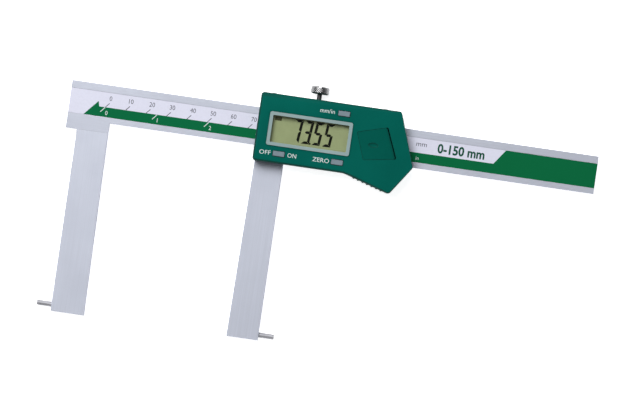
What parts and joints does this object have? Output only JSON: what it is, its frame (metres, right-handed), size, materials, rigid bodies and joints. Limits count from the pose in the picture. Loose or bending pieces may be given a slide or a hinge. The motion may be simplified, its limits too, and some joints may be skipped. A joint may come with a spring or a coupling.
{
  "type": "digital caliper",
  "caption": "Digital inside-groove caliper: flat steel beam and sliding display head, each with a long straight leg and a round outward pin.",
  "frame": {"origin": "middle of the footprint, on the plane that the caliper rests on when it lies on its back", "axes": "+X along the beam from the fixed leg to the end stop, +Y in the display's plane away from the legs, +Z out of the display"},
  "size_m": [0.26, 0.1266, 0.0154],
  "materials": {
    "steel": "satin ground stainless steel",
    "pin_steel": "fine ground hardened steel",
    "knob_metal": "plated, knurled edge",
    "screw_metal": "dark plated screws",
    "brass": "plain",
    "housing_plastic": "fine textured teal green",
    "bezel_plastic": "semi-gloss light grey",
    "button_rubber": "matt light grey",
    "window": "clear",
    "lcd": "olive reflective display",
    "label": "printed film, white and green",
    "board": "coated circuit board",
    "black_rubber": "matt",
    "battery_can": "plated"
  },
  "bodies": {
    "beam": {"beam": "steel", "scale_grid_strip": "board", "scale_label": "label", "fixed_leg": "steel", "fixed_pin": "pin_steel", "end_stop": "steel", "end_stop_screw_left": "screw_metal", "end_stop_screw_right": "screw_metal"},
    "slider": {"slider_frame": "steel", "moving_leg": "steel", "moving_pin": "pin_steel", "gib_strip": "brass", "gib_screw_left": "screw_metal", "gib_screw_right": "screw_metal", "housing": "housing_plastic", "housing_screw_upper_left": "screw_metal", "housing_screw_upper_right": "screw_metal", "housing_screw_lower_left": "screw_metal", "housing_screw_lower_right": "screw_metal", "display_bezel": "bezel_plastic", "display_window": "window", "lcd_panel": "lcd", "zebra_strip_upper": "black_rubber", "zebra_strip_lower": "black_rubber", "main_board": "board", "board_screw_upper": "screw_metal", "board_screw_lower": "screw_metal", "controller_blob": "black_rubber", "power_switch_dome": "screw_metal", "zero_switch_dome": "screw_metal", "unit_switch_dome": "screw_metal", "battery": "battery_can", "battery_contact_negative": "brass", "battery_contact_positive": "brass"},
    "power_button": {"power_button": "button_rubber"},
    "zero_button": {"zero_button": "button_rubber"},
    "unit_button": {"unit_button": "button_rubber"},
    "battery_cover": {"battery_cover": "housing_plastic"},
    "lock_pad": {"lock_pad": "brass"},
    "lock_screw": {"lock_screw": "knob_metal"}
  },
  "joints": [
    {"name": "slider_travel", "type": "slide", "parent": "beam", "child": "slider", "axis": [1, 0, 0], "range_m": [-0.0695, 0.08045]},
    {"name": "power_press", "type": "slide", "parent": "slider", "child": "power_button", "axis": [0, 0, -1], "range_m": [0, 0.0004], "stiffness_N_per_m": 800, "springref_m": -0.0003},
    {"name": "zero_press", "type": "slide", "parent": "slider", "child": "zero_button", "axis": [0, 0, -1], "range_m": [0, 0.0004], "stiffness_N_per_m": 800, "springref_m": -0.0003},
    {"name": "unit_press", "type": "slide", "parent": "slider", "child": "unit_button", "axis": [0, 0, -1], "range_m": [0, 0.0004], "stiffness_N_per_m": 800, "springref_m": -0.0003},
    {"name": "cover_swing", "type": "hinge", "parent": "slider", "child": "battery_cover", "pos_m": [0.01205, 0.0443, 0.015], "axis": [0.3457, -0.9383, 0], "range_deg": [0, 60]},
    {"name": "lock_travel", "type": "slide", "parent": "slider", "child": "lock_pad", "axis": [0, -1, 0], "range_m": [-0.0009, 0.0003]},
    {"name": "lock_turn", "type": "hinge", "parent": "lock_pad", "child": "lock_screw", "pos_m": [-0.00845, 0.0615, 0.0046], "axis": [0, -1, 0], "range_deg": [-721, 241]}
  ],
  "couplings": [
    {"joint": "lock_turn", "follows": "lock_travel", "rad_per_m": 13963}
  ]
}
